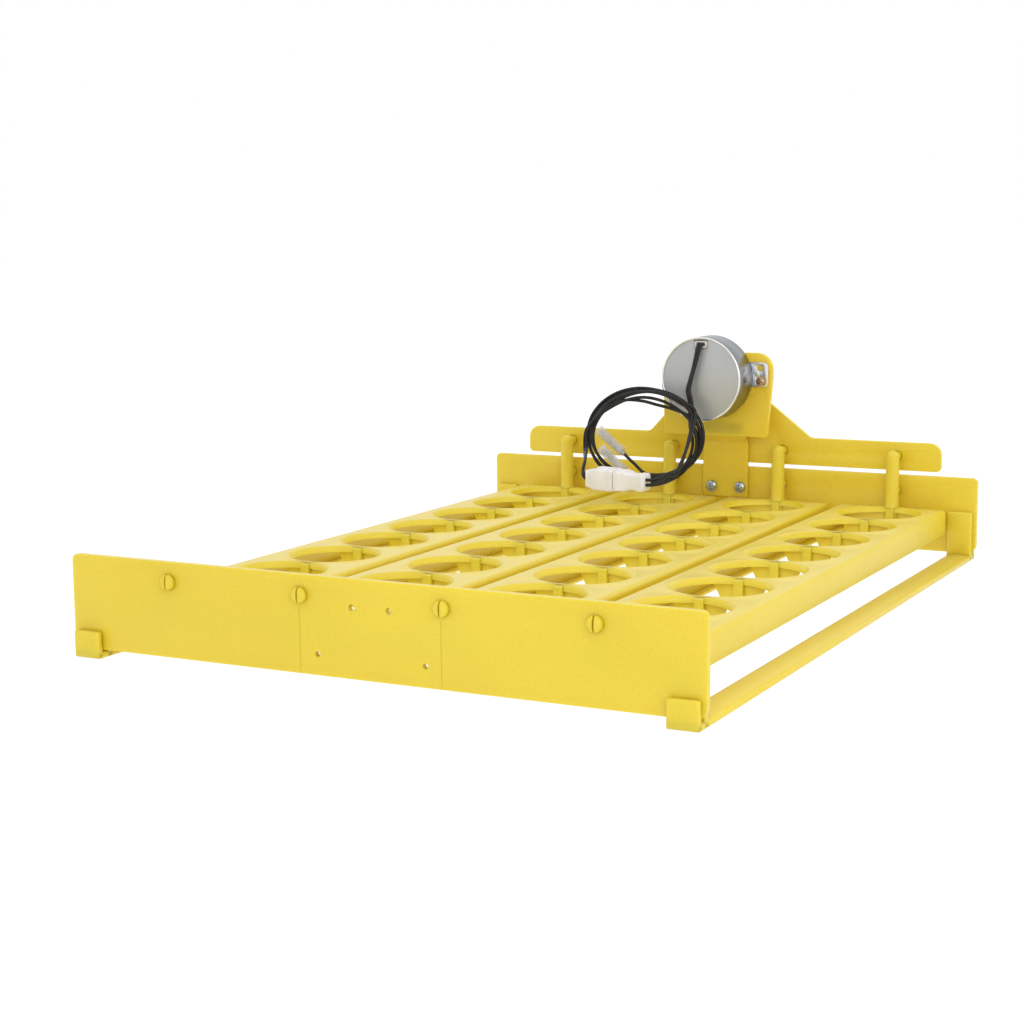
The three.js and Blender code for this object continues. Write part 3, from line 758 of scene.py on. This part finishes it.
# ---- motor ----
def motor():
    """The can with its bright rolled rim, the sunk face, and the pale bush the leads come out of."""
    r, y0, y1 = MOTOR_RADIUS, MOTOR_BACK, MOTOR_FRONT
    can = turned([
        (r - 2, y0 + 2.2), (r - 0.8, y0 + 2.2), (r - 0.8, y1), (r - 0.1, y1), (r, y1 - 0.2),
        (r, y0 + 1.6), (r - 0.15, y0 + 0.9), (r - 0.5, y0 + 0.35), (r - 0.9, y0 + 0.3),
        (r - 0.9, y0 + 1.2), (r - 2, y0 + 1.2)], MOTOR_X, MOTOR_Z, 96, True)
    finish_mesh("motor_can_shell", can, "frame", CAN_STEEL, ["motor_can"], 30)
    rim = turned([
        (r - 1.25, y0 + 1.1), (r - 1.25, y0 + 0.3), (r - 1.0, y0 + 0.02), (r - 0.5, y0 - 0.02),
        (r - 0.2, y0 + 0.1), (r - 0.05, y0 + 0.35), (r - 0.3, y0 + 0.6)], MOTOR_X, MOTOR_Z, 96, True)
    finish_mesh("motor_rolled_rim", rim, "frame", RIM_STEEL, (), 60)
    z = LEAD_SLOT_Z
    window = prism(
        rounded(MOTOR_X - 4.4, MOTOR_X + 4.4, z - 2.7, z + 4, 1.6, 0.5), y0 - 1, y0 + 3, "Y", 0)
    face = cut(rod(MOTOR_X, MOTOR_Z, y0 + 0.55, y0 + 1.5, r - 1.3, 96), window)
    face = round_edges(face, 0.12, 2, 60)
    finish_mesh("motor_face_disc", face, "frame", FACE_METAL, ["motor_face"])
    bush = prism(
        rounded(MOTOR_X - 4.1, MOTOR_X + 4.1, z - 2.4, z + 1.7, 1.5, 1.0), y0 + 0.2, y0 + 2.4, "Y", 0)
    hole = prism(
        rounded(MOTOR_X - 2.9, MOTOR_X + 2.9, z - 1.4, z + 1.0, 1.1, 1.1), y0 - 2, y0 + 1.9, "Y", 0)
    bush = round_edges(cut(bush, hole), 0.2, 2, 60)
    finish_mesh("lead_bush_moulding", bush, "frame", BUSH, ["lead_bush"])


def motor_flange():
    """The gear case cover: a thin disc with an ear at each side, one the other turned half round."""
    y0, y1 = MOTOR_FRONT + GAP, BRACKET_FRONT - GAP
    disc = turned([
        (0, y0), (MOTOR_RADIUS - 0.9, y0), (MOTOR_RADIUS - 0.4, y0 + 0.3), (MOTOR_RADIUS - 0.4, y1), (0, y1)],
        MOTOR_X, MOTOR_Z, 96)
    for side in (-1, 1):
        outline = (
            [(20, -EAR_DROP)]
            + arc(EAR_OUTER - 2, 2 - EAR_DROP, 2, -90, 0)
            + arc(EAR_OUTER - 3, EAR_RISE - 3, 3, 0, 90)
            + [(20, EAR_RISE)])
        ear = [(side * x, MOTOR_Z + side * z) for x, z in outline]
        plate = prism(ear, y0, y1, "Y", 0)
        holes = [
            rod(side * EAR_REACH, MOTOR_Z - side * SCREW_DROP, y0 - 1, y1 + 1, 1.8, 20),
            rod(side * (EAR_REACH - 0.5), MOTOR_Z + side * EAR_HOLE_RISE, y0 - 1, y1 + 1, 1.9, 20)]
        merge(disc, round_edges(cut(plate, *holes), 0.15, 2, 50))
    finish_mesh("gear_case_cover", disc, "frame", ZINC, ["motor_flange"])


def repaint(node, look):
    """Gives a carried-over CAD node its own procedural finish."""
    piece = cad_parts[node]
    piece.data.materials.clear()
    piece.data.materials.append(look)


# ---- leads ----
def smooth_path(points):
    """A Catmull-Rom line through the points, resampled to an even step."""
    dense = []
    ends = [points[0] * 2 - points[1], *points, points[-1] * 2 - points[-2]]
    for p0, p1, p2, p3 in zip(ends, ends[1:], ends[2:], ends[3:]):
        for i in range(24):
            t = i / 24
            dense.append(0.5 * (
                2 * p1 + (p2 - p0) * t + (2 * p0 - 5 * p1 + 4 * p2 - p3) * t * t
                + (3 * p1 - p0 - 3 * p2 + p3) * t * t * t))
    dense.append(points[-1].copy())
    even = [dense[0]]
    carried = 0.0
    for a, b in zip(dense, dense[1:]):
        length = (b - a).length
        while carried + length >= LEAD_STEP:
            share = (LEAD_STEP - carried) / length
            a = a.lerp(b, share)
            even.append(a)
            length = (b - a).length
            carried = 0.0
        carried += length
    if (even[-1] - dense[-1]).length > LEAD_STEP * 0.4:
        even.append(dense[-1])
    return even


def path_length(points):
    """The length in metres of a line given in millimetres."""
    return sum((b - a).length for a, b in zip(points, points[1:])) * MM


def lead(name, points):
    """A round lead as one open poly spline; returns the piece and its length in metres."""
    curve = bpy.data.curves.new(name, "CURVE")
    curve.dimensions = "3D"
    curve.bevel_depth = LEAD_DIAMETER / 2 * MM
    curve.bevel_resolution = 3
    curve.use_fill_caps = True
    line = smooth_path(points)
    spline = curve.splines.new("POLY")
    spline.points.add(len(line) - 1)
    for target, p in zip(spline.points, line):
        target.co = (*(p * MM), 1)
    curve.materials.append(BLACK)
    piece = bpy.data.objects.new(name, curve)
    bpy.context.scene.collection.objects.link(piece)
    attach(piece, "frame")
    return piece, path_length(line)


def on_coil(degrees, radial, forward):
    """A point of the hanging coil: 0 is its right side, 90 its top."""
    a = math.radians(degrees)
    r = COIL_RADIUS + radial
    return COIL + Vector((COIL_STRETCH * r * math.cos(a), -forward, r * math.sin(a)))


def coil_turns(start, end, lanes, phase):
    """Clockwise turns from one angle down to another, with a point every 20 degrees.

    lanes are (radial, forward) places that the wire drifts through, evenly spaced along the way."""
    count = int((start - end) / 20)
    points = []
    for i in range(count + 1):
        t = i / count
        angle = start + (end - start) * t
        spot = t * (len(lanes) - 1)
        k = min(int(spot), len(lanes) - 2)
        share = (1 - math.cos(math.pi * (spot - k))) / 2
        radial = lanes[k][0] + (lanes[k + 1][0] - lanes[k][0]) * share
        forward = lanes[k][1] + (lanes[k + 1][1] - lanes[k][1]) * share
        slack = math.sin(math.radians(angle) * 2 + phase)
        points.append(on_coil(angle, radial + 0.5 * slack, forward + 0.4 * slack))
    return points


def on_connector(along, across, above):
    """A point given along, across and above the connector, which lies turned about Z."""
    c, s = math.cos(CONNECTOR_TURN), math.sin(CONNECTOR_TURN)
    return CONNECTOR + Vector((along * c + across * s, -along * s + across * c, above))


def motor_leads():
    """Two sheathed wires from the motor: down its face, round the coil, into the connector."""
    made = []
    for i, side in enumerate((-1, 1)):
        start = Vector((MOTOR_X + 0.95 * side, MOTOR_BACK + 0.9, LEAD_SLOT_Z - 0.2))
        drop = [
            start,
            start + Vector((0, -1.8, -0.3)),
            start + Vector((-0.4 - 0.1 * side, -3.0, -2.2)),
            start + Vector((-1.4 - 0.2 * side, -3.4 - 0.2 * side, -7)),
            start + Vector((-3.0 - 0.3 * side, -3.8 - 0.5 * side, -14)),
            start + Vector((-4.8 - 0.2 * side, -4.4 - 0.7 * side, -21)),
            start + Vector((-5.6 + 0.1 * side, -5.6 - 0.7 * side, -27.5)),
            start + Vector((-3.6 + 0.2 * side, -6.8 - 0.7 * side, -34))]
        lanes = [
            (-1.2 + 0.9 * side, 2.4), (-0.4 + 0.8 * side, 0.6), (2.8 - 0.9 * side, -0.8),
            (2.2 + 0.9 * side, 0.2), (-4.2 + 1.0 * side, 1.6), (-0.6 - 0.9 * side, 2.8),
            (2.6 + 0.9 * side, 3.2)]
        turns = coil_turns(20, -690, lanes, 0.5 * i)
        into = [
            on_connector(29, 21, 7 + side),
            on_connector(28, 9, 3.6 + 0.6 * side),
            on_connector(24.5, 1.8 + 0.5 * side, 1 + 1.0 * side),
            on_connector(21.5, 0, 1.5 * side),
            on_connector(19.1, 0, 1.5 * side)]
        piece, length = lead(f"motor_lead_{i + 1}", drop + turns + into)
        made.append((piece, start * MM, length))
    return made


def tail_leads():
    """Two wires from the connector's other half: once round the coil, then to the terminals."""
    made = []
    for i, side in enumerate((-1, 1)):
        left = on_connector(-19.1, 0, 1.5 * side)
        along = Vector((math.cos(TERMINAL_TILT), 0, -math.sin(TERMINAL_TILT)))
        out = [
            left,
            on_connector(-21.5, 0, 1.5 * side),
            on_connector(-25.5, 1.5, 2.6 + 0.9 * side),
            on_connector(-29, 9, 9)]
        lanes = [
            (2.4 + 0.9 * side, 4.2), (-2.5 - 0.9 * side, 3.0), (-3.6 + 1.6 * side, 1.8),
            (0.6 - 0.9 * side, 0.2), (-1.8 + 0.9 * side, 2.2)]
        turns = coil_turns(192, -48 - 9 * i, lanes, 1.8 + i)
        end = TERMINALS[i] + along * 11.9
        join = [
            end + along * (18 - 7 * i) + Vector((1, 1.5, 0)),
            end + along * 8 + Vector((0.4, 0.6, -0.6)),
            end + along * 3.5,
            end]
        piece, length = lead(f"tail_lead_{i + 1}", out + turns + join)
        made.append((piece, left * MM, length))
    return made


def connector(name, node, sections, ridges, latch):
    """Half of a white two-way connector: a stepped shell, ridges on its sides, a latch on top.

    sections are (along, half width, half height); ridges are places along it."""
    bm = bmesh.new()
    rings = []
    for along, half_w, half_h in sections:
        rings.append([
            bm.verts.new((along, across, above))
            for across, above in rounded(-half_w, half_w, -half_h, half_h, 1.5, 1.5, 4)])
    bm.faces.new(rings[0])
    bm.faces.new(rings[-1])
    for a, b in zip(rings, rings[1:]):
        for i in range(len(a)):
            j = (i + 1) % len(a)
            bm.faces.new((a[i], a[j], b[j], b[i]))
    for along, half_w, half_h in ridges:
        merge(bm, block(along - 0.55, along + 0.55, -half_w, half_w, -half_h, half_h, 0.3))
    merge(bm, block(latch[0], latch[1], -2, 2, latch[2], latch[2] + 1.5, 0.4, 3))
    bmesh.ops.rotate(bm, cent=(0, 0, 0), matrix=Matrix.Rotation(-CONNECTOR_TURN, 3, "Z"), verts=bm.verts)
    bmesh.ops.translate(bm, vec=CONNECTOR, verts=bm.verts)
    return finish_mesh(name, bm, "frame", NYLON, [node], 40)


def connector_halves():
    """The socket half on the left and the plug half on the right, pushed together."""
    socket = connector(
        "connector_socket_shell", "connector_socket",
        [(-19.5, 4.6, 4.3), (-18.9, 5.5, 5.1), (-15.6, 5.9, 5.5), (-13.6, 6.5, 6.2), (-0.7, 6.5, 6.2),
         (-0.2, 6.1, 5.8)],
        [(-17.6, 6.0, 2.8), (-15.2, 6.3, 2.8), (-11.5, 6.65, 3.2), (-3.0, 6.65, 6.35)], (-13, -2, 5.6))
    plug = connector(
        "connector_plug_shell", "connector_plug",
        [(0.2, 5.5, 5.2), (0.6, 5.9, 5.6), (7, 5.9, 5.6), (10.2, 4.9, 4.6), (13.6, 4.8, 4.5),
         (15.8, 5.4, 5.1), (18.9, 5.3, 5.0), (19.5, 4.6, 4.3)],
        [(2.4, 6.05, 5.75), (16.8, 5.55, 3.0), (18.4, 5.45, 3.0)], (1, 8, 5.0))
    return socket, plug


def terminal_pieces(i):
    """A crimped flat terminal in its clear sleeve."""
    spot = TERMINALS[i]
    place = Matrix.Translation(spot) @ Matrix.Rotation(TERMINAL_TILT, 4, "Y")
    sleeve = turned([
        (3.0, -10), (3.1, -9.7), (3.1, -3), (2.7, 1), (2.75, 6), (3.2, 9.7), (3.1, 10),
        (2.6, 10), (2.3, 6), (2.25, 1), (2.6, -3), (2.6, -9.7)], 0, 0, 32, True)
    for v in sleeve.verts:
        v.co = Vector((v.co.y, v.co.x * (0.72 if v.co.y < -2 else 0.85), v.co.z))
    bmesh.ops.transform(sleeve, matrix=place, verts=sleeve.verts)
    blade = block(-8.5, 1.5, -1.9, 1.9, -0.4, 0.4, 0.2)
    merge(
        blade,
        block(1, 6.5, -1.2, 1.2, -0.9, 0.9, 0.4, 3),
        block(6.1, 12.4, -1.5, 1.5, -1.1, 1.2, 0.5, 3),
        block(-7.5, 0.5, -2.1, -1.3, -0.5, 1.0, 0.2),
        block(-7.5, 0.5, 1.3, 2.1, -0.5, 1.0, 0.2))
    bmesh.ops.transform(blade, matrix=place, verts=blade.verts)
    metal = finish_mesh(f"terminal_crimp_{i + 1}", blade, "frame", TIN, [f"terminal_{i + 1}"])
    clear = finish_mesh(
        f"terminal_cover_{i + 1}", sleeve, "frame", CLEAR, [f"terminal_sleeve_{i + 1}"], 50)
    return metal, clear


def leads():
    """All four leads with their connector and terminals."""
    motor_side = motor_leads()
    tails = tail_leads()
    socket, plug = connector_halves()
    ends = [terminal_pieces(i) for i in range(2)]
    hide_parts("lead_drop", "lead_coil", "lead_plug")
    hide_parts("lead_socket", "lead_tail_1")
    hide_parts("lead_tail_2")


# ---- stage ----
def floor():
    """A white floor that glows, so that the object stands on plain white."""
    mesh = bpy.data.meshes.new("floor")
    bm = bmesh.new()
    bmesh.ops.create_grid(bm, x_segments=1, y_segments=1, size=6)
    bm.to_mesh(mesh)
    bm.free()
    n = Nodes("pale_floor")
    n.link(n.ramp(n.noise(3, 2), [(0.3, grey(0.10)), (0.7, grey(0.11))]), n.shader.inputs["Base Color"])
    n.roughness(n.noise(40, 2), 0.75, 0.85)
    n.set(Specular_IOR_Level=0.0, Emission_Strength=1.0)
    n.shader.inputs["Emission Color"].default_value = (1, 1, 1, 1)
    mesh.materials.append(n.material)
    piece = bpy.data.objects.new("floor", mesh)
    piece.location = (0, 0, -0.0004)
    bpy.context.scene.collection.objects.link(piece)


def area_light(name, place, size, watts, aim=(0, 0, 0.03)):
    data = bpy.data.lights.new(name, "AREA")
    data.shape = "SQUARE"
    data.size = size
    data.energy = watts
    light = bpy.data.objects.new(name, data)
    light.location = place
    light.rotation_euler = (Vector(place) - Vector(aim)).to_track_quat("Z", "Y").to_euler()
    bpy.context.scene.collection.objects.link(light)


def studio():
    """Even white surroundings with three soft lights."""
    world = bpy.data.worlds.new("studio")
    world.use_nodes = True
    world.node_tree.nodes["Background"].inputs["Color"].default_value = (1, 1, 1, 1)
    world.node_tree.nodes["Background"].inputs["Strength"].default_value = 1.0
    bpy.context.scene.world = world
    area_light("top_light", (0.1, -0.1, 1.8), 1.6, 2)
    area_light("front_light", (0.55, -0.75, 0.4), 0.5, 1.6)
    area_light("side_light", (1.6, 0.2, 0.7), 1.0, 2)
    bpy.context.scene.view_settings.view_transform = "Standard"


# ---- assembly ----
leads()
front_plate()
back_plate()
side_rail(-1, "left_rail", "rail_left")
side_rail(1, "right_rail", "rail_right")
egg_trays()
link_bar()
bracket()
for number, spot in enumerate(SCREWS_X):
    screw(f"bracket_screw_head_{number + 1}", spot, SCREW_Z, 200.8, 208.5, 3.4, 1.2, BLUE_ZINC,
          f"bracket_screw_{number + 1}")
for number, side in enumerate((-1, 1)):
    screw(f"motor_screw_head_{number + 1}", side * EAR_REACH, MOTOR_Z - side * SCREW_DROP, 189.1, 197.1,
          2.8, 1.2, BRONZE_ZINC, f"motor_screw_{number + 1}")
motor()
motor_flange()
repaint("crank", GEAR_NYLON)
repaint("crank_screw", BLUE_ZINC)
repaint("stator_coil", COPPER)
repaint("rotor", FERRITE)
repaint("reduction_gear", GEAR_NYLON)
repaint("output_shaft", SHAFT_STEEL)
floor()
studio()
